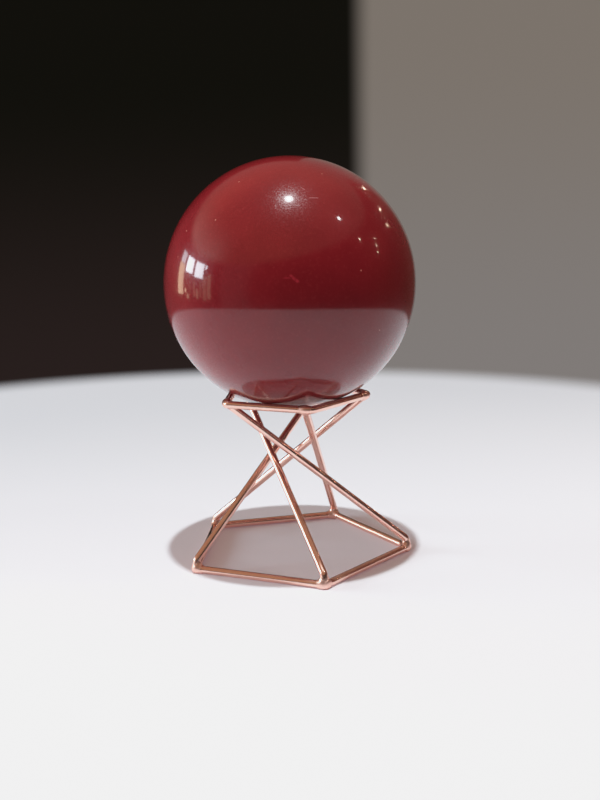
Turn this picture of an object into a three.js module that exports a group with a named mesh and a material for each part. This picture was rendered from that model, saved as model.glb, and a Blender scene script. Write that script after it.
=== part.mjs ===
// A polished red stone ball resting on a stand of welded copper-coloured wire.
// The stand has two wire pentagons, a large one on the table and a small one above it.
// Five struts join them. Each strut leaves a top corner and lands two corners further round,
// so that the struts pass each other like the wires of an hourglass.
// Millimetres, +Z up, the stand's axis on Z and its underside at z = 0.

import * as THREE from "three";
import { mergeVertices } from "three/addons/utils/BufferGeometryUtils.js";

// Driving dimensions
const BALL_DIAMETER = 60;
const WIRE_DIAMETER = 1.8;
const CORNERS = 5;
const BASE_SIDE = 32.8; // corner to corner of the lower pentagon's centre line
const TOP_SIDE = 21.6; // the same on the upper pentagon
const RING_SPACING = 38.8; // height from the lower centre line to the upper one
const STAND_TURN = THREE.MathUtils.degToRad(-148.2); // direction of each ring's first corner
const STRUT_SKIP = 2; // corners between a strut's top and its foot
const STRUT_TOP_OFFSET = 1.5; // a strut meets the top ring this far before its corner
const FOOT_HEIGHT = 2.2; // a strut turns upright this far above the lower centre line
const RING_BEND_RADIUS = 1.2; // bends are measured on the wire's centre line
const FOOT_BEND_RADIUS = 1.6;
const JOINT_GAP = 0.3; // clearance between pieces where they touch or are welded

// Facets
const WIRE_FACETS = 12;
const BEND_STEPS = 6;
const BALL_FACETS_AROUND = 48;
const BALL_FACETS_UP = 32;

// Worked out from the driving dimensions
const ballRadius = BALL_DIAMETER / 2;
const wireRadius = WIRE_DIAMETER / 2;
const facetAngle = (2 * Math.PI) / WIRE_FACETS;
const cornerAngle = (2 * Math.PI) / CORNERS;
const wireFlat = wireRadius * Math.cos(facetAngle / 2); // centre line to a facet's middle
const baseHeight = wireFlat;
const topHeight = baseHeight + RING_SPACING;

const stone = new THREE.MeshStandardMaterial({ color: 0x6e1a20, roughness: 0.08, metalness: 0 });
const copper = new THREE.MeshStandardMaterial({ color: 0xe0a58c, roughness: 0.22, metalness: 1 });

// The corners of a level regular pentagon, counted anticlockwise seen from above.
function pentagon(side, height) {
  const radius = side / (2 * Math.sin(cornerAngle / 2));
  return Array.from({ length: CORNERS }, (_, i) => {
    const angle = STAND_TURN + i * cornerAngle;
    return new THREE.Vector3(radius * Math.cos(angle), radius * Math.sin(angle), height);
  });
}

// A station is a point of a wire's centre line with the wire's direction there.
// This gives the stations of the round bend that replaces a sharp corner.
function bend(before, corner, after, radius) {
  const arriving = corner.clone().sub(before).normalize();
  const leaving = after.clone().sub(corner).normalize();
  const turn = arriving.angleTo(leaving);
  const axis = arriving.clone().cross(leaving).normalize();
  const inward = axis.clone().cross(arriving);
  const centre = corner
    .clone()
    .addScaledVector(arriving, -radius * Math.tan(turn / 2))
    .addScaledVector(inward, radius);
  return Array.from({ length: BEND_STEPS + 1 }, (_, step) => {
    const angle = (turn * step) / BEND_STEPS;
    const spoke = inward.clone().negate().applyAxisAngle(axis, angle);
    return {
      point: centre.clone().addScaledVector(spoke, radius),
      direction: arriving.clone().applyAxisAngle(axis, angle),
    };
  });
}

// A wire's centre line, with one cross-section at each station: straight stretches stay
// one facet long, and the bends get the rest.
class WireLine extends THREE.Curve {
  constructor(stations) {
    super();
    this.stations = stations;
  }

  station(t) {
    return this.stations[Math.round(t * (this.stations.length - 1))];
  }

  getPoint(t, target = new THREE.Vector3()) {
    return target.copy(this.station(t).point);
  }

  getTangent(t, target = new THREE.Vector3()) {
    return target.copy(this.station(t).direction);
  }

  getUtoTmapping(u) {
    return u;
  }
}

// The round section, turned so that a level wire has a flat facet below and above.
function wireSection() {
  const points = Array.from({ length: WIRE_FACETS }, (_, i) => {
    const angle = (i + 0.5) * facetAngle;
    return new THREE.Vector2(wireRadius * Math.cos(angle), wireRadius * Math.sin(angle));
  });
  return new THREE.Shape(points);
}

function wireAlong(stations) {
  return new THREE.ExtrudeGeometry(wireSection(), {
    steps: stations.length - 1,
    bevelEnabled: false,
    extrudePath: new WireLine(stations),
  });
}

// A wire bent into a closed pentagon. Its last section falls on its first, so the two end
// faces are left off and the wall is welded to itself.
function ringGeometry(corners) {
  const stations = corners.flatMap((corner, i) => {
    const before = corners[(i + CORNERS - 1) % CORNERS];
    const after = corners[(i + 1) % CORNERS];
    return bend(before, corner, after, RING_BEND_RADIUS);
  });
  const wire = wireAlong([...stations, stations[0]]);
  const [, wall] = wire.groups;
  const { array, itemSize } = wire.getAttribute("position");
  const wallPositions = array.slice(wall.start * itemSize, (wall.start + wall.count) * itemSize);
  const open = new THREE.BufferGeometry();
  open.setAttribute("position", new THREE.BufferAttribute(wallPositions, itemSize));
  const ring = mergeVertices(open);
  ring.computeVertexNormals();
  return ring;
}

// A strut runs straight down from the top ring, bends upright just above its base corner
// and ends in a short foot that stands on the crown of the lower ring's bend.
function strutGeometry(topCorners, baseCorners, index) {
  const topCorner = topCorners[index];
  const previous = topCorners[(index + CORNERS - 1) % CORNERS];
  const towardsPrevious = previous.clone().sub(topCorner).normalize();
  const weldPoint = topCorner.clone().addScaledVector(towardsPrevious, STRUT_TOP_OFFSET);

  const baseCorner = baseCorners[(index + STRUT_SKIP) % CORNERS];
  const outwards = new THREE.Vector3(baseCorner.x, baseCorner.y, 0).normalize();
  const cornerCut = RING_BEND_RADIUS * (1 / Math.cos(cornerAngle / 2) - 1); // corner to crown
  const crown = baseCorner.clone().addScaledVector(outwards, -cornerCut);
  const bendPoint = crown.clone();
  bendPoint.z += FOOT_HEIGHT;

  const downwards = bendPoint.clone().sub(weldPoint).normalize();
  const slopeAcrossRing = Math.abs(downwards.dot(towardsPrevious)); // the end face's tilt
  const standOff = wireRadius * (1 + slopeAcrossRing) + JOINT_GAP;
  const top = weldPoint.clone().addScaledVector(downwards, standOff);
  const foot = crown.clone();
  foot.z += wireRadius + JOINT_GAP;

  const turned = bend(top, bendPoint, foot, FOOT_BEND_RADIUS);
  return wireAlong([
    { point: top, direction: turned[0].direction },
    ...turned,
    { point: foot, direction: turned.at(-1).direction },
  ]);
}

// The ball rests on the middles of the top ring's five sides.
function ballGeometry() {
  const ringInradius = TOP_SIDE / (2 * Math.tan(cornerAngle / 2));
  const reach = ballRadius + wireRadius + JOINT_GAP;
  const centreHeight = topHeight + Math.sqrt(reach ** 2 - ringInradius ** 2);
  return new THREE.SphereGeometry(ballRadius, BALL_FACETS_AROUND, BALL_FACETS_UP)
    .rotateX(Math.PI / 2)
    .translate(0, 0, centreHeight);
}

function piece(name, geometry, material) {
  const mesh = new THREE.Mesh(geometry, material);
  mesh.name = name;
  return mesh;
}

const baseCorners = pentagon(BASE_SIDE, baseHeight);
const topCorners = pentagon(TOP_SIDE, topHeight);

const decorativeSphere = new THREE.Group();
decorativeSphere.add(piece("stone_ball", ballGeometry(), stone));
decorativeSphere.add(piece("top_ring", ringGeometry(topCorners), copper));
decorativeSphere.add(piece("base_ring", ringGeometry(baseCorners), copper));
for (let i = 0; i < CORNERS; i += 1) {
  decorativeSphere.add(piece(`strut_${i + 1}`, strutGeometry(topCorners, baseCorners, i), copper));
}

export default decorativeSphere;
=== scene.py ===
"""A polished red stone ball on its copper wire stand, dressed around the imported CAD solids.

Metres, +Z up. The photograph looks along +Y with +X to its right.
"""

import math

import bmesh
import bpy
import numpy as np
from mathutils import Matrix, Vector


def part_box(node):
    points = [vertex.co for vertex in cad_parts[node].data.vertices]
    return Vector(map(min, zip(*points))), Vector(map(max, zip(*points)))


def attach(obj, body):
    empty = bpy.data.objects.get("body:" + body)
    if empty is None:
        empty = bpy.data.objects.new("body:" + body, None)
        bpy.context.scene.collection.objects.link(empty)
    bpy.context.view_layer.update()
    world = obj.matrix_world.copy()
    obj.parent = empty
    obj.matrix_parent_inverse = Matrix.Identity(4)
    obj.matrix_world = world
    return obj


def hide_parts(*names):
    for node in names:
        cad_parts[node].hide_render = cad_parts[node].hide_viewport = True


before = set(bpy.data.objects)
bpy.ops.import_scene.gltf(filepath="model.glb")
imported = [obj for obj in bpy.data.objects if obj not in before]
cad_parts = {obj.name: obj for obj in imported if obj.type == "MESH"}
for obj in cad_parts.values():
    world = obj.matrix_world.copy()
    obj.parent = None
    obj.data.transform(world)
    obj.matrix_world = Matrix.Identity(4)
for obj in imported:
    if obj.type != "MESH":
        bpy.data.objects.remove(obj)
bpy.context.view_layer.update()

MM = 0.001

# Driving dimensions of the stand, the same as in the CAD source
WIRE_RADIUS = 0.9 * MM
CORNERS = 5
BASE_SIDE = 32.8 * MM
TOP_SIDE = 21.6 * MM
RING_SPACING = 38.8 * MM
STAND_TURN = math.radians(-148.2)
STRUT_SKIP = 2
STRUT_TOP_OFFSET = 1.5 * MM
FOOT_HEIGHT = 2.2 * MM
RING_BEND_RADIUS = 1.2 * MM
FOOT_BEND_RADIUS = 1.6 * MM

# How finely the wires are meshed
WIRE_SIDES = 32
STEP_ALONG_WIRE = 0.35 * MM
STEP_IN_BEND = 0.12 * MM
STEP_NEAR_WELD = 0.12 * MM
FEWEST_BEND_STEPS = 6

# Welds: how far from a joint they change a wire, and how wide their fillets are
WELD_REACH = 3.0 * MM
NEIGHBOUR_REACH = 2.5 * WELD_REACH
BURIED_DEPTH = 0.35 * WIRE_RADIUS
WELD_PASSES = 14
WELD_PASS_LIMIT = 0.1 * MM
TOP_BLEND = 1.0 * MM
FOOT_BLEND = 1.5 * MM
WELD_MARK_FULL = 0.8 * MM
WELD_MARK_END = 2.4 * MM

# The ball's mesh, and the faint waves that hand polishing leaves in it
CELLS_PER_FACE = 112
SAME_POINT = 1e-5
POLISH_WAVES = 6
POLISH_WAVE_RATE = 5
POLISH_WAVE_HEIGHT = 0.004 * MM
RANDOM_SEED = 7

corner_angle = 2 * math.pi / CORNERS
base_height = WIRE_RADIUS
top_height = base_height + RING_SPACING

# The ball rests on the middles of the top ring's sides
ball_low, ball_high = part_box("stone_ball")
ball_radius = (ball_high.z - ball_low.z) / 2
ring_inradius = TOP_SIDE / (2 * math.tan(corner_angle / 2))
ball_height = top_height + math.sqrt((ball_radius + WIRE_RADIUS) ** 2 - ring_inradius**2)
ball_centre = np.array([0.0, 0.0, ball_height])
rng = np.random.default_rng(RANDOM_SEED)


# Directions

def unit(vector):
    return vector / np.linalg.norm(vector)


def turn_about(vector, axis, angle):
    """vector turned about a perpendicular unit axis."""
    return vector * math.cos(angle) + np.cross(axis, vector) * math.sin(angle)


def direction(azimuth, elevation):
    """The unit vector towards a compass direction: 0 is +Y and 90 is +X, in degrees."""
    a, e = math.radians(azimuth), math.radians(elevation)
    return Vector((math.sin(a) * math.cos(e), math.cos(a) * math.cos(e), math.sin(e)))


def on_ball(azimuth, elevation):
    """The point of the ball's surface in a compass direction from its centre."""
    return Vector(ball_centre) + direction(azimuth, elevation) * ball_radius


# Wire centre lines

def pentagon(side, height):
    radius = side / (2 * math.sin(corner_angle / 2))
    turns = STAND_TURN + corner_angle * np.arange(CORNERS)
    return np.stack([radius * np.cos(turns), radius * np.sin(turns), np.full(CORNERS, height)], 1)


def bend(before, corner, after, radius):
    """The points of the round bend that replaces a sharp corner."""
    arriving, leaving = unit(corner - before), unit(after - corner)
    turn = math.acos(float(np.clip(arriving @ leaving, -1, 1)))
    axis = unit(np.cross(arriving, leaving))
    inward = np.cross(axis, arriving)
    centre = corner - arriving * radius * math.tan(turn / 2) + inward * radius
    steps = max(FEWEST_BEND_STEPS, round(turn * radius / STEP_IN_BEND))
    return [centre + turn_about(-inward, axis, turn * i / steps) * radius for i in range(steps + 1)]


def subdivide(points, joints):
    """The same line with short steps, shorter still within reach of a weld."""
    line = [points[0]]
    for start, end in zip(points[:-1], points[1:]):
        length = np.linalg.norm(end - start)
        position = 0.0
        while True:
            here = start + (end - start) * (position / length)
            near = min(np.linalg.norm(here - joint) for joint in joints)
            position += STEP_NEAR_WELD if near < WELD_REACH else STEP_ALONG_WIRE
            if position > length - 0.5 * STEP_NEAR_WELD:
                break
            line.append(start + (end - start) * (position / length))
        line.append(end)
    return np.array(line)


base_corners = pentagon(BASE_SIDE, base_height)
top_corners = pentagon(TOP_SIDE, top_height)


def strut_ends(index):
    """The weld point on the top ring, the bend above the foot, and the weld under the foot."""
    corner = top_corners[index]
    towards_previous = unit(top_corners[index - 1] - corner)
    top = corner + towards_previous * STRUT_TOP_OFFSET
    base_corner = base_corners[(index + STRUT_SKIP) % CORNERS]
    outwards = unit(base_corner * [1, 1, 0])
    foot = base_corner - outwards * RING_BEND_RADIUS * (1 / math.cos(corner_angle / 2) - 1)
    return top, foot + [0, 0, FOOT_HEIGHT], foot


top_welds = [strut_ends(i)[0] for i in range(CORNERS)]
foot_welds = [strut_ends(i)[2] for i in range(CORNERS)]


def ring_line(corners, joints):
    points = []
    for i in range(CORNERS):
        points += bend(corners[i - 1], corners[i], corners[(i + 1) % CORNERS], RING_BEND_RADIUS)
    return subdivide(points + [points[0]], joints)[:-1]


def strut_line(index):
    top, knee, foot = strut_ends(index)
    return subdivide([top] + bend(top, knee, foot, FOOT_BEND_RADIUS) + [foot], [top, foot])


# Meshes

def add_object(name, data):
    made = bpy.data.objects.new(name, data)
    bpy.context.scene.collection.objects.link(made)
    return made


def sweep(line, closed):
    """Rings of points round a centre line, with each ring's outward directions."""
    count = len(line)
    if closed:
        tangents = np.roll(line, -1, 0) - np.roll(line, 1, 0)
    else:
        tangents = np.gradient(line, axis=0)
    tangents /= np.linalg.norm(tangents, axis=1)[:, None]
    side = unit(np.cross(tangents[0], [0, 0, 1]))
    outward = np.zeros((count, WIRE_SIDES, 3))
    angles = 2 * math.pi * np.arange(WIRE_SIDES) / WIRE_SIDES
    for i in range(count):
        side = unit(side - tangents[i] * (side @ tangents[i]))
        up = np.cross(tangents[i], side)
        outward[i] = np.cos(angles)[:, None] * side + np.sin(angles)[:, None] * up
    return line[:, None, :] + outward * WIRE_RADIUS, outward


def unroll(line, chosen):
    """The chosen stretch of a closed line, in order, also where it spans the line's start."""
    if chosen[0] and chosen[-1]:
        first = int(np.argmin(chosen))
        line, chosen = np.roll(line, -first, 0), np.roll(chosen, -first)
    return line[chosen]


def nearby(line, joint, closed):
    """The stretch of a wire's centre line that lies round a joint."""
    close = np.linalg.norm(line - joint, axis=1) < NEIGHBOUR_REACH
    return unroll(line, close) if closed else line[close]


def distance_to_wire(points, line):
    """How far each point is from the surface of the wire that follows an open line."""
    best = np.full(len(points), np.inf)
    for start, end in zip(line[:-1], line[1:]):
        along = end - start
        share = np.clip((points - start) @ along / (along @ along), 0, 1)
        best = np.minimum(best, np.linalg.norm(points - start - share[:, None] * along, axis=1))
    return best - WIRE_RADIUS


def flow_weld(points, outward, own_line, other_line, blend):
    """Swells a wire's skin out to the smooth union of both wires: the weld's fillet.

    Points deep inside the other wire stay, and none sinks below the lowest one.
    """
    buried = distance_to_wire(points, other_line) < -BURIED_DEPTH
    lowest = points[:, 2].min()
    moved = points.copy()
    for _ in range(WELD_PASSES):
        here = distance_to_wire(moved, own_line)
        there = distance_to_wire(moved, other_line)
        overlap = np.maximum(blend - np.abs(here - there), 0) / blend
        depth = np.minimum(here, there) - overlap**2 * blend / 4
        moved += outward * np.clip(-depth, 0, WELD_PASS_LIMIT)[:, None]
    moved[buried] = points[buried]
    moved[:, 2] = np.maximum(moved[:, 2], lowest)
    return moved


def welded_rings(line, closed, welds):
    """A wire's rings of points with its fillets, and how strongly the welding marked each."""
    rings, outward = sweep(line, closed)
    marked = np.zeros(rings.shape[:2])
    for joint, other_line, other_closed, blend in welds:
        gap = np.linalg.norm(rings - joint, axis=2)
        mark = (WELD_MARK_END - gap) / (WELD_MARK_END - WELD_MARK_FULL)
        marked = np.maximum(marked, np.clip(mark, 0, 1))
        chosen = gap < WELD_REACH
        rings[chosen] = flow_weld(rings[chosen], outward[chosen], nearby(line, joint, closed),
                                  nearby(other_line, joint, other_closed), blend)
    return rings, marked


def wire_faces(count, closed):
    """The quads between neighbouring rings of points, and the two ends of an open wire."""
    faces = []
    for i in range(count if closed else count - 1):
        here, following = i * WIRE_SIDES, ((i + 1) % count) * WIRE_SIDES
        for j in range(WIRE_SIDES):
            k = (j + 1) % WIRE_SIDES
            faces.append((here + j, here + k, following + k, following + j))
    if not closed:
        faces.append(tuple(reversed(range(WIRE_SIDES))))
        faces.append(tuple((count - 1) * WIRE_SIDES + j for j in range(WIRE_SIDES)))
    return faces


def drawn_grain(line):
    """For each point of a wire: the distance along it and the direction round it."""
    steps = np.linalg.norm(np.diff(line, axis=0), axis=1)
    along = np.concatenate([[0], np.cumsum(steps)])
    angles = 2 * math.pi * np.arange(WIRE_SIDES) / WIRE_SIDES
    grain = np.broadcast_arrays(along[:, None], np.cos(angles)[None], np.sin(angles)[None])
    return np.stack(grain, 2)


def store(mesh, name, kind, values, field):
    attribute = mesh.attributes.new(name, kind, "POINT")
    attribute.data.foreach_set(field, np.ascontiguousarray(values, dtype=np.float32).ravel())


def recalculate_normals(mesh):
    shape = bmesh.new()
    shape.from_mesh(mesh)
    bmesh.ops.recalc_face_normals(shape, faces=shape.faces)
    shape.to_mesh(mesh)
    shape.free()


def wire_piece(name, line, closed, welds):
    """A swept wire. welds lists (joint, the other wire's line, whether it is closed, blend)."""
    rings, marked = welded_rings(line, closed, welds)
    mesh = bpy.data.meshes.new(name)
    mesh.from_pydata([tuple(p) for p in rings.reshape(-1, 3)], [], wire_faces(len(line), closed))
    mesh.shade_smooth()
    store(mesh, "grain", "FLOAT_VECTOR", drawn_grain(line), "vector")
    store(mesh, "weld", "FLOAT", marked, "value")
    recalculate_normals(mesh)
    return add_object(name, mesh)


# Each face of a cube: its direction, then the two directions of its grid
CUBE_FACES = (((1, 0, 0), (0, 1, 0), (0, 0, 1)), ((-1, 0, 0), (0, 0, 1), (0, 1, 0)),
              ((0, 1, 0), (0, 0, 1), (1, 0, 0)), ((0, -1, 0), (1, 0, 0), (0, 0, 1)),
              ((0, 0, 1), (1, 0, 0), (0, 1, 0)), ((0, 0, -1), (0, 1, 0), (1, 0, 0)))


def unit_sphere_mesh(name):
    """An evenly faced sphere of radius 1: a cube with gridded faces, blown up."""
    shape = bmesh.new()
    spread = np.tan(np.linspace(-math.pi / 4, math.pi / 4, CELLS_PER_FACE + 1))
    for face, across, along in np.array(CUBE_FACES, float):
        grid = face + spread[:, None, None] * across + spread[None, :, None] * along
        grid /= np.linalg.norm(grid, axis=2)[:, :, None]
        placed = [[shape.verts.new(tuple(p)) for p in row] for row in grid]
        for i in range(CELLS_PER_FACE):
            for j in range(CELLS_PER_FACE):
                shape.faces.new((placed[i][j], placed[i + 1][j],
                                 placed[i + 1][j + 1], placed[i][j + 1]))
    bmesh.ops.remove_doubles(shape, verts=shape.verts, dist=SAME_POINT)
    bmesh.ops.recalc_face_normals(shape, faces=shape.faces)
    mesh = bpy.data.meshes.new(name)
    shape.to_mesh(mesh)
    shape.free()
    return mesh


def ball_piece(name):
    """The ball, never larger than its radius and faintly uneven below it."""
    mesh = unit_sphere_mesh(name)
    directions = np.zeros(len(mesh.vertices) * 3, np.float32)
    mesh.vertices.foreach_get("co", directions)
    directions = directions.reshape(-1, 3).astype(float)
    wobble = np.zeros(len(directions))
    for _ in range(POLISH_WAVES):
        wave = rng.normal(0, POLISH_WAVE_RATE, 3)
        wobble += np.sin(directions @ wave + rng.uniform(0, 2 * math.pi))
    reach = ball_radius - POLISH_WAVE_HEIGHT * (1 + wobble / POLISH_WAVES)
    points = ball_centre + directions * reach[:, None]
    mesh.vertices.foreach_set("co", points.astype(np.float32).ravel())
    mesh.shade_smooth()
    return add_object(name, mesh)


# Materials

class Shader:
    """A node tree with short ways to add and join its nodes."""

    def __init__(self, tree):
        self.tree = tree
        self.tree.nodes.clear()

    def add(self, kind, inputs=None, **settings):
        node = self.tree.nodes.new(kind)
        for key, value in settings.items():
            setattr(node, key, value)
        for key, value in (inputs or {}).items():
            if isinstance(value, bpy.types.NodeSocket):
                self.tree.links.new(value, node.inputs[key])
            else:
                node.inputs[key].default_value = value
        return node

    def math(self, operation, a, b=0.0, clamp=False):
        node = self.add("ShaderNodeMath", {0: a, 1: b}, operation=operation, use_clamp=clamp)
        return node.outputs[0]

    def vector(self, operation, a, b=(0, 0, 0)):
        node = self.add("ShaderNodeVectorMath", {0: a, 1: b}, operation=operation)
        return node.outputs["Value" if operation in ("DOT_PRODUCT", "LENGTH") else "Vector"]

    def noise_node(self, vector, scale, detail=2.0, roughness=0.5):
        return self.add("ShaderNodeTexNoise", {"Vector": vector, "Scale": scale, "Detail": detail,
                                               "Roughness": roughness})

    def noise(self, vector, scale, detail=2.0, roughness=0.5):
        return self.noise_node(vector, scale, detail, roughness).outputs["Fac"]

    def remap(self, value, low, high, to_low=0.0, to_high=1.0):
        """to_low where value is low, to_high where it is high, and an eased slope between."""
        return self.add("ShaderNodeMapRange", {"Value": value, "From Min": low, "From Max": high,
                                               "To Min": to_low, "To Max": to_high},
                        interpolation_type="SMOOTHSTEP").outputs["Result"]

    def mix(self, share, a, b):
        return self.add("ShaderNodeMix", {0: share, 6: a, 7: b}, data_type="RGBA").outputs[2]

    def strongest(self, values):
        best = values[0]
        for value in values[1:]:
            best = self.math("MAXIMUM", best, value)
        return best


def material(name):
    made = bpy.data.materials.new(name)
    made.use_nodes = True
    return made, Shader(made.node_tree)


def near_segment(s, place, start, end, inner, outer):
    """1 up to the inner distance from the line between two points, 0 past the outer one."""
    along = end - start
    offset = s.vector("SUBTRACT", place, tuple(start))
    share = s.math("MULTIPLY", s.vector("DOT_PRODUCT", offset, tuple(along)), 1 / along.dot(along),
                   clamp=True)
    foot = s.add("ShaderNodeVectorMath", {0: tuple(along), "Scale": share}, operation="SCALE")
    gap = s.vector("LENGTH", s.vector("SUBTRACT", offset, foot.outputs[0]))
    return s.remap(gap, inner, outer, 1, 0)


# The stone's colours, linear, and the scales of its patterns in cells a metre
# Black, mixed into the stone's lower +X side and underside as painted shade
PAINTED_SHADE_BLACK = (0, 0, 0, 1)
STONE_DEEP = (0.193, 0.0095, 0.0142, 1)
STONE_LIVELY = (0.231, 0.0122, 0.0170, 1)
STONE_GRAIN = (0.30, 0.030, 0.032, 1)
STONE_SPECK = (0.68, 0.26, 0.20, 1)
STONE_VEIN = (0.43, 0.030, 0.045, 1)
# The scratches' pale colour is partly their own and partly a painted glint of the key light
STONE_SCRATCH_AND_GLINT = (0.60, 0.26, 0.27, 1)
CLOUD_SCALE = 55
SPECK_SCALE = 190
GRAIN_SCALE = 1400
VEIN_SCALE = 1500
HAZE_SCALE = 3200
HAZE_TILT = 0.42

# Marks on the ball, each point as azimuth and elevation
PLACED_SPECKS = ((149.1, 59.7), (-120.4, 27.6), (-140.5, 33.5), (-141.4, 54.8), (-120.0, 15.9))
SPECK_INNER, SPECK_OUTER = 0.10 * MM, 0.22 * MM
SPECK_CHANCE = 0.7
SPECK_STRENGTH = 0.75
VEIN_STRANDS = (((-177.9, 8.8), (179.6, 8.7), 0.5, 0.26 * MM),
                ((179.2, 9.5), (176.4, 7.3), 0.85, 0.50 * MM))
VEIN_INNER = 0.04 * MM
SCRATCHES = (((167.3, 44.4), (161.9, 44.2)), ((170.6, 50.4), (168.8, 49.2)),
             ((20.0, 30.0), (26.0, 34.0)), ((60.0, 20.0), (66.0, 23.0)),
             ((-20.0, 35.0), (-26.0, 31.0)))
SCRATCH_INNER, SCRATCH_OUTER = 0.01 * MM, 0.12 * MM
SCRATCH_AND_GLINT_STRENGTH = 0.75


def stone_tone_and_painted_shade(s, place, clouds):
    """The stone's red with its clouds and fine grain, and painted shade: darker low down and
    towards +X, where less light falls.
    """
    across, _, height = s.add("ShaderNodeSeparateXYZ", {0: place}).outputs[0:3]
    height = s.math("SUBTRACT", height, ball_centre[2])
    slant = s.math("SUBTRACT", s.math("MULTIPLY", height, 0.9), across)
    colour = s.mix(s.remap(clouds, 0.35, 0.68), STONE_DEEP, STONE_LIVELY)
    grain = s.noise(place, GRAIN_SCALE)
    colour = s.mix(s.remap(grain, 0.5, 0.8, 0, 0.3), colour, STONE_GRAIN)
    # Painted shade: darker towards the lower +X side, where less light falls on the stone
    colour = s.mix(s.remap(slant, -27 * MM, 7 * MM, 0.22, 0), colour, PAINTED_SHADE_BLACK)
    # Painted shade: darker on the underside, which faces the shadowed floor
    return s.mix(s.remap(height, -24.5 * MM, -21 * MM, 0.28, 0), colour, PAINTED_SHADE_BLACK)


def stone_specks(s, place):
    """1 on a pale speck: scattered ones, and five at places that the photo shows."""
    cells = s.add("ShaderNodeTexVoronoi", {"Vector": place, "Scale": SPECK_SCALE,
                                           "Randomness": 1.0})
    chance = s.add("ShaderNodeSeparateColor", {"Color": cells.outputs["Color"]}).outputs["Red"]
    dot = s.remap(cells.outputs["Distance"], 0.02, 0.05, 1, 0)
    specks = [s.math("MULTIPLY", dot, s.math("GREATER_THAN", chance, SPECK_CHANCE))]
    for spot in PLACED_SPECKS:
        gap = s.vector("LENGTH", s.vector("SUBTRACT", place, tuple(on_ball(*spot))))
        specks.append(s.remap(gap, SPECK_INNER, SPECK_OUTER, 1, 0))
    return s.strongest(specks)


def stone_vein(s, place):
    """How strong the short crimson vein is: two strands, unevenly coloured."""
    strands = []
    for start, end, strength, width in VEIN_STRANDS:
        strand = near_segment(s, place, on_ball(*start), on_ball(*end), VEIN_INNER, width)
        strands.append(s.math("MULTIPLY", strand, strength))
    uneven = s.remap(s.noise(place, VEIN_SCALE), 0.35, 0.6, 0.25, 1)
    return s.math("MULTIPLY", s.strongest(strands), uneven)


def stone_scratches(s, place):
    """1 on a scratch: two that the photo shows and three on the far sides."""
    return s.strongest([near_segment(s, place, on_ball(*start), on_ball(*end),
                                     SCRATCH_INNER, SCRATCH_OUTER) for start, end in SCRATCHES])


def polish_haze(s, place):
    """The surface normal with tiny random tilts, which give a strong light a grainy halo."""
    tilts = s.noise_node(place, HAZE_SCALE, roughness=0.6).outputs["Color"]
    tilts = s.vector("SUBTRACT", tilts, (0.5, 0.5, 0.5))
    tilts = s.vector("MULTIPLY", tilts, (HAZE_TILT, HAZE_TILT, HAZE_TILT))
    normal = s.add("ShaderNodeNewGeometry").outputs["Normal"]
    return s.vector("NORMALIZE", s.vector("ADD", normal, tilts))


def stone_material():
    """Deep red opaque stone with its marks, painted shade low down and a partly painted glint on
    its scratches, under a clear mirror polish.
    """
    made, s = material("polished_red_stone")
    place = s.add("ShaderNodeTexCoord").outputs["Object"]
    clouds = s.noise(place, CLOUD_SCALE, detail=4, roughness=0.55)
    scratches = stone_scratches(s, place)
    colour = stone_tone_and_painted_shade(s, place, clouds)
    colour = s.mix(s.math("MULTIPLY", stone_specks(s, place), SPECK_STRENGTH), colour,
                   STONE_SPECK)
    colour = s.mix(stone_vein(s, place), colour, STONE_VEIN)
    # Scratches: a real mark, painted pale partly as a painted glint of the key light
    colour = s.mix(s.math("MULTIPLY", scratches, SCRATCH_AND_GLINT_STRENGTH), colour, STONE_SCRATCH_AND_GLINT)
    rough = s.math("ADD", s.remap(clouds, 0.3, 0.7, 0.27, 0.31), s.math("MULTIPLY", scratches, 0.3))
    shader = s.add("ShaderNodeBsdfPrincipled", {
        "Base Color": colour, "Normal": polish_haze(s, place), "Roughness": rough,
        "Specular IOR Level": 0.09, "Coat Weight": 1.0, "Coat Roughness": 0.078, "Coat IOR": 1.47})
    s.add("ShaderNodeOutputMaterial", {"Surface": shader.outputs["BSDF"]})
    return made


COPPER_ROSE = (0.98, 0.60, 0.50, 1)
COPPER_PALE = (0.99, 0.66, 0.56, 1)
COPPER_WELDED = (0.98, 0.57, 0.47, 1)
TARNISH_SCALE = 260
PITTING_SCALE = 900
DRAWN_SCALE = (120, 9, 9)


def copper_material():
    """Bright rose copper plating on drawn wire, duller and warmer where it was welded."""
    made, s = material("rose_copper_plating")
    place = s.add("ShaderNodeTexCoord").outputs["Object"]
    grain = s.add("ShaderNodeAttribute", attribute_name="grain").outputs["Vector"]
    weld = s.add("ShaderNodeAttribute", attribute_name="weld").outputs["Fac"]
    drawn = s.add("ShaderNodeMapping", {"Vector": grain, "Scale": DRAWN_SCALE}).outputs["Vector"]
    relief = s.math("ADD", s.noise(drawn, 1.0, detail=3), s.noise(place, PITTING_SCALE))
    bump = s.add("ShaderNodeBump", {"Strength": 0.15, "Distance": 0.01 * MM, "Height": relief})
    tarnish = s.noise(place, TARNISH_SCALE, detail=3)
    colour = s.mix(s.remap(tarnish, 0.35, 0.7), COPPER_ROSE, COPPER_PALE)
    colour = s.mix(s.math("MULTIPLY", weld, 0.35), colour, COPPER_WELDED)
    rough = s.math("ADD", s.remap(tarnish, 0.3, 0.75, 0.19, 0.24), s.math("MULTIPLY", weld, 0.16))
    shader = s.add("ShaderNodeBsdfPrincipled", {
        "Base Color": colour, "Metallic": 1.0, "Roughness": rough,
        "Normal": bump.outputs["Normal"]})
    s.add("ShaderNodeOutputMaterial", {"Surface": shader.outputs["BSDF"]})
    return made


FLOOR_RADIUS = 0.250
FLOOR_FADE = 0.018
FLOOR_CENTRE = (-0.020, -0.008)
FLOOR_SEGMENTS = 180
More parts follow.
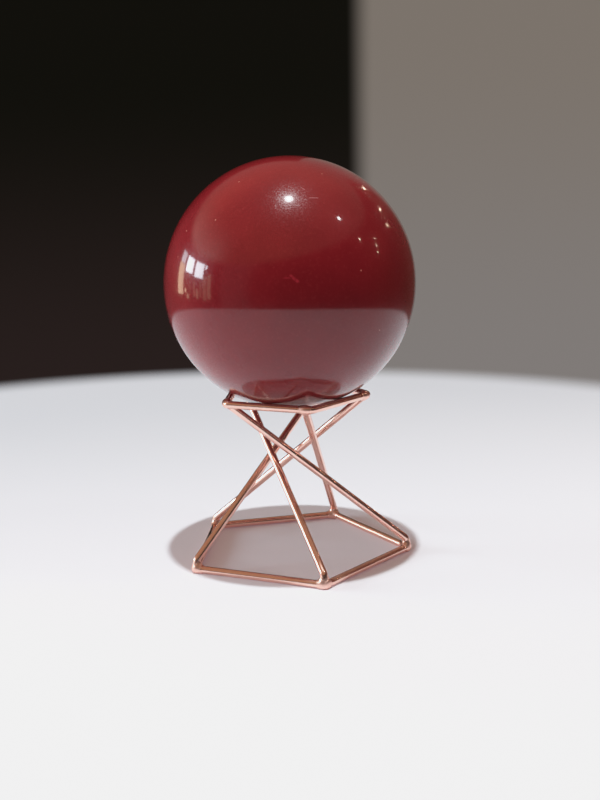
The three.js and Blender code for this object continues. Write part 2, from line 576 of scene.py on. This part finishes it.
# The floor's near colour, and its darker far colour, which is painted shade
FLOOR_NEAR = (0.865, 0.935, 0.98, 1)
FLOOR_FAR_SHADED = (0.615, 0.685, 0.73, 1)
FLOOR_CLOUD = (0.74, 0.78, 0.82, 1)
FLOOR_CLOUD_SCALE = 9
FLOOR_GRAIN_SCALE = 700


def floor_material():
    """Plain pale floor with painted shade, a little darker far away and to the left, that fades out
    at its rim.
    """
    made, s = material("pale_floor")
    place = s.add("ShaderNodeTexCoord").outputs["Object"]
    across, depth = s.add("ShaderNodeSeparateXYZ", {0: place}).outputs[0:2]
    # Painted shade: the floor darkens far away and towards -X, where less light falls
    away = s.math("SUBTRACT", depth, s.math("MULTIPLY", across, 0.3))
    shade = s.mix(s.remap(away, -0.05, 0.20), FLOOR_NEAR, FLOOR_FAR_SHADED)
    clouds = s.noise(place, FLOOR_CLOUD_SCALE, detail=3)
    shade = s.mix(s.remap(clouds, 0.3, 0.7, 0, 0.08), shade, FLOOR_CLOUD)
    grain = s.noise(place, FLOOR_GRAIN_SCALE)
    bump = s.add("ShaderNodeBump", {"Strength": 0.05, "Distance": 0.1 * MM, "Height": grain})
    surface = s.add("ShaderNodeBsdfPrincipled", {
        "Base Color": shade, "Roughness": 0.6, "Specular IOR Level": 0.2,
        "Normal": bump.outputs["Normal"]})
    reach = s.vector("LENGTH", s.vector("SUBTRACT", place, (*FLOOR_CENTRE, 0)))
    clear = s.add("ShaderNodeBsdfTransparent")
    fade = s.remap(reach, FLOOR_RADIUS - FLOOR_FADE, FLOOR_RADIUS + FLOOR_FADE)
    blend = s.add("ShaderNodeMixShader", {0: fade, 1: surface.outputs[0], 2: clear.outputs[0]})
    s.add("ShaderNodeOutputMaterial", {"Surface": blend.outputs[0]})
    return made


# The pieces

def finish_piece(piece, look, slot, *nodes):
    piece.data.materials.append(look)
    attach(piece, "root")
    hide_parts(*nodes)


copper = copper_material()
base_line = ring_line(base_corners, foot_welds)
top_line = ring_line(top_corners, top_welds)
strut_lines = [strut_line(i) for i in range(CORNERS)]

base_ring = wire_piece("base_ring_wire", base_line, True,
                       [(foot_welds[i], strut_lines[i], False, FOOT_BLEND) for i in range(CORNERS)])
finish_piece(base_ring, copper, "copper_wire", "base_ring")
top_ring = wire_piece("top_ring_wire", top_line, True,
                      [(top_welds[i], strut_lines[i], False, TOP_BLEND) for i in range(CORNERS)])
finish_piece(top_ring, copper, "copper_wire", "top_ring")
for i in range(CORNERS):
    strut = wire_piece(f"strut_wire_{i + 1}", strut_lines[i], False,
                       [(top_welds[i], top_line, True, TOP_BLEND),
                        (foot_welds[i], base_line, True, FOOT_BLEND)])
    finish_piece(strut, copper, "copper_wire", f"strut_{i + 1}")

ball = ball_piece("polished_stone_ball")
finish_piece(ball, stone_material(), "ball_stone", "stone_ball")


# Stage: a pale round floor, soft light and a plain backdrop

floor_shape = bmesh.new()
bmesh.ops.create_circle(floor_shape, cap_ends=True, radius=FLOOR_RADIUS + FLOOR_FADE,
                        segments=FLOOR_SEGMENTS, matrix=Matrix.Translation((*FLOOR_CENTRE, 0)))
floor_mesh = bpy.data.meshes.new("floor")
floor_shape.to_mesh(floor_mesh)
floor_shape.free()
floor = add_object("floor", floor_mesh)
floor.data.materials.append(floor_material())

LIGHT_DISTANCE = 1.5
WHITE = (1.0, 1.0, 1.0)
COOL_WHITE = (0.95, 0.97, 1.0)
DAYLIGHT = (0.79, 0.90, 1.0)
CREAM = (1.0, 0.76, 0.51)
LAMPLIGHT = (1.0, 0.74, 0.54)
ROSE = (1.0, 0.55, 0.70)

# Azimuth, elevation, width and height in degrees as seen from the ball
KEY_PLACE = (174.3, 84.85, 1.8, 1.8)
KEY_DISTANCE = 1.12
KEY_RADIANCE = 3250
FILL_RADIANCE = 450
GLOW_PLACE = (-84.0, 10.0, 30.0, 14.0)
GLOW_RADIANCE = 10

# Soft panels: name, azimuth, elevation, width, height, radiance, colour
PANELS = (("daylight_near", -91.6, 9.8, 10.6, 9.5, 17, DAYLIGHT),
          ("daylight_far", -78.2, 10.3, 10.0, 8.5, 17, DAYLIGHT),
          ("daylight_side", -66.6, 11.8, 7.0, 5.5, 5, DAYLIGHT),
          ("daylight_slit", -99.4, 12.8, 1.5, 2.4, 22, DAYLIGHT),
          ("cream_panel", -66.6, 1.2, 9.0, 15.0, 4.4, CREAM),
          ("cream_strip_1", -74.5, -4.0, 2.2, 2.0, 6.0, CREAM),
          ("cream_strip_2", -77.5, -7.0, 4.0, 2.4, 2.2, CREAM),
          ("cream_strip_3", -81.0, -2.0, 2.2, 7.0, 0.5, CREAM),
          ("cream_strip_4", -86.8, -2.5, 2.4, 9.0, 1.0, CREAM),
          ("cream_strip_5", -90.5, -5.0, 2.4, 6.0, 1.9, CREAM),
          ("cream_strip_6", -94.6, -2.0, 2.6, 10.0, 0.8, CREAM),
          ("cream_strip_7", -99.5, -1.0, 4.2, 16.0, 1.0, CREAM),
          ("cream_strip_8", -104.6, 0.5, 4.2, 17.0, 1.3, CREAM))

# Small round lights: name, azimuth, elevation, size, radiance, colour
SPOTS = (("spot_white", 104.9, 51.6, 2.0, 78, WHITE),
         ("spot_1", 29.4, 27.1, 1.1, 50, LAMPLIGHT),
         ("spot_2", 43.3, 24.8, 1.1, 56, LAMPLIGHT),
         ("spot_3", 53.1, 21.3, 1.1, 50, LAMPLIGHT),
         ("spot_4", 101.3, 31.7, 0.9, 105, LAMPLIGHT),
         ("spot_5", 82.9, 26.1, 0.7, 110, LAMPLIGHT),
         ("spot_6", 85.2, 22.1, 0.7, 95, LAMPLIGHT),
         ("spot_7", 87.4, 18.7, 0.6, 95, LAMPLIGHT))


def panel(name, azimuth, elevation, width, height, radiance, colour, shape="RECTANGLE",
          distance=LIGHT_DISTANCE):
    """A soft light that fills width by height degrees as seen from the ball."""
    lamp = bpy.data.lights.new(name, "AREA")
    lamp.shape = shape
    lamp.size = 2 * distance * math.tan(math.radians(width / 2))
    lamp.size_y = 2 * distance * math.tan(math.radians(height / 2))
    round_share = math.pi / 4 if shape == "DISK" else 1
    lamp.energy = radiance * math.pi * lamp.size * lamp.size_y * round_share
    lamp.color = colour
    towards = direction(azimuth, elevation)
    holder = add_object(name, lamp)
    holder.location = Vector(ball_centre) + towards * distance
    holder.rotation_euler = towards.to_track_quat("Z", "Y").to_euler()
    holder.visible_camera = False
    return holder


panel("key", *KEY_PLACE, KEY_RADIANCE, COOL_WHITE, "DISK", KEY_DISTANCE)
fill = panel("fill", *KEY_PLACE, FILL_RADIANCE, ROSE, "DISK", KEY_DISTANCE)
fill.data.use_shadow = False
fill.visible_glossy = False
for row in PANELS:
    panel(*row)
glow = panel("daylight_glow", *GLOW_PLACE, GLOW_RADIANCE, DAYLIGHT)
glow.visible_glossy = False
for name, azimuth, elevation, size, radiance, colour in SPOTS:
    panel(name, azimuth, elevation, size, size, radiance, colour, "DISK")


# The backdrop's colours, linear
LEFT_LOW, LEFT_HIGH = (0.020, 0.013, 0.012, 1), (0.0055, 0.005, 0.0035, 1)
FAR_LEFT = (0.060, 0.038, 0.035, 1)
RIGHT_LOW, RIGHT_HIGH = (0.205, 0.187, 0.178, 1), (0.190, 0.163, 0.140, 1)
FAR_RIGHT = (0.10, 0.040, 0.030, 1)
BEHIND, BEHIND_LEFT = (0.035, 0.030, 0.028, 1), (0.20, 0.175, 0.165, 1)
UPPER_LEFT, UPPER_RIGHT = (0.36, 0.225, 0.14, 1), (0.25, 0.185, 0.14, 1)
UPPER_TOP = (0.37, 0.24, 0.17, 1)
UPPER_GLOW = (1.0, 0.87, 0.74, 1)
UPPER_AHEAD = (0.20, 0.16, 0.13, 1)

# The edge between the lower and the upper part, as heights of a unit direction
EDGE_START, EDGE_END = 0.42, 0.53
EDGE_SLOPE = -0.17
EDGE_RISE_AHEAD = 0.07


def lower_backdrop(s, x, y, z):
    """Dark on the left and grey on the right ahead, and dim behind the camera."""
    left = s.mix(s.remap(z, -0.2, 0.06), LEFT_LOW, LEFT_HIGH)
    left = s.mix(s.remap(x, -0.35, -0.65), left, FAR_LEFT)
    right = s.mix(s.remap(z, -0.2, 0.1), RIGHT_LOW, RIGHT_HIGH)
    right = s.mix(s.remap(x, 0.30, 0.45), right, FAR_RIGHT)
    ahead = s.mix(s.remap(x, 0.043, 0.066), left, right)
    back_left = s.math("MULTIPLY", s.remap(x, 0.0, -0.3), s.math(
        "MULTIPLY", s.remap(y, -0.36, -0.50), s.remap(y, -0.88, -0.70)))
    behind = s.mix(back_left, BEHIND, BEHIND_LEFT)
    return s.mix(s.remap(y, 0.0, -0.35), ahead, behind)


def upper_backdrop(s, x, y, z):
    """Dim and warm, with a glow low on the left, and dimmer ahead."""
    colour = s.mix(s.remap(x, -0.5, 0.7), UPPER_LEFT, UPPER_RIGHT)
    colour = s.mix(s.remap(z, 0.72, 0.97), colour, UPPER_TOP)
    glow = s.math("MULTIPLY", s.remap(x, -0.5, -0.95), s.remap(z, 0.8, 0.30))
    glow = s.math("MULTIPLY", glow, s.remap(y, -0.55, -0.15))
    colour = s.mix(glow, colour, UPPER_GLOW)
    return s.mix(s.remap(y, 0.40, 0.85), colour, UPPER_AHEAD)


def backdrop():
    """The lower part, and above a slanting edge the upper one, by the direction of view."""
    world = bpy.data.worlds.new("studio")
    bpy.context.scene.world = world
    world.use_nodes = True
    s = Shader(world.node_tree)
    ray = s.add("ShaderNodeSeparateXYZ", {0: s.add("ShaderNodeTexCoord").outputs["Generated"]})
    x, y, z = ray.outputs[0:3]
    edge = s.math("ADD", z, s.math("MULTIPLY", x, EDGE_SLOPE))
    edge = s.math("SUBTRACT", edge, s.remap(y, 0.0, 0.7, 0, EDGE_RISE_AHEAD))
    colour = s.mix(s.remap(edge, EDGE_START, EDGE_END), lower_backdrop(s, x, y, z),
                   upper_backdrop(s, x, y, z))
    light = s.add("ShaderNodeBackground", {"Color": colour, "Strength": 1.0})
    s.add("ShaderNodeOutputWorld", {"Surface": light.outputs[0]})


backdrop()

# The camera, at the place that the photo was taken from
PHOTO_HEIGHT_PX = 800
FOCAL_LENGTH_PX = 1178.8
SENSOR_MM = 36.0
CAMERA_ELEVATION = math.radians(12.063)
CAMERA_ROLL = math.radians(-1.155)
CAMERA_DISTANCE = 287.4 * MM
NEAREST_SEEN = 10 * MM
AIM = Vector((1.853, 0, 38.35)) * MM


def add_camera():
    forward = Vector((0, math.cos(CAMERA_ELEVATION), -math.sin(CAMERA_ELEVATION)))
    level_up = Vector((1, 0, 0)).cross(forward)
    right = Vector((1, 0, 0)) * math.cos(CAMERA_ROLL) + level_up * math.sin(CAMERA_ROLL)
    turned = Matrix((right, right.cross(forward), -forward)).transposed().to_4x4()
    lens = bpy.data.cameras.new("camera")
    lens.sensor_fit = "AUTO"
    lens.sensor_width = SENSOR_MM
    lens.lens = FOCAL_LENGTH_PX * SENSOR_MM / PHOTO_HEIGHT_PX
    lens.clip_start = NEAREST_SEEN
    camera = add_object("camera", lens)
    camera.matrix_world = Matrix.Translation(AIM - forward * CAMERA_DISTANCE) @ turned
    bpy.context.scene.camera = camera


add_camera()

# Scene brightness and the brightness shown for it
TONES = ((0.5, 0.5), (0.8, 0.75), (1.06, 0.90))
BRIGHTEST = (1.8, 1.0)


def film_shoulder():
    """Leaves dark and middle tones as they are and rolls bright ones off, as a camera does."""
    view = bpy.context.scene.view_settings
    view.view_transform = "Standard"
    view.use_curve_mapping = True
    view.curve_mapping.use_clip = False
    combined = view.curve_mapping.curves[3]
    combined.points[-1].location = BRIGHTEST
    for brightness, shown in TONES:
        combined.points.new(brightness, shown)
    view.curve_mapping.update()


film_shoulder()
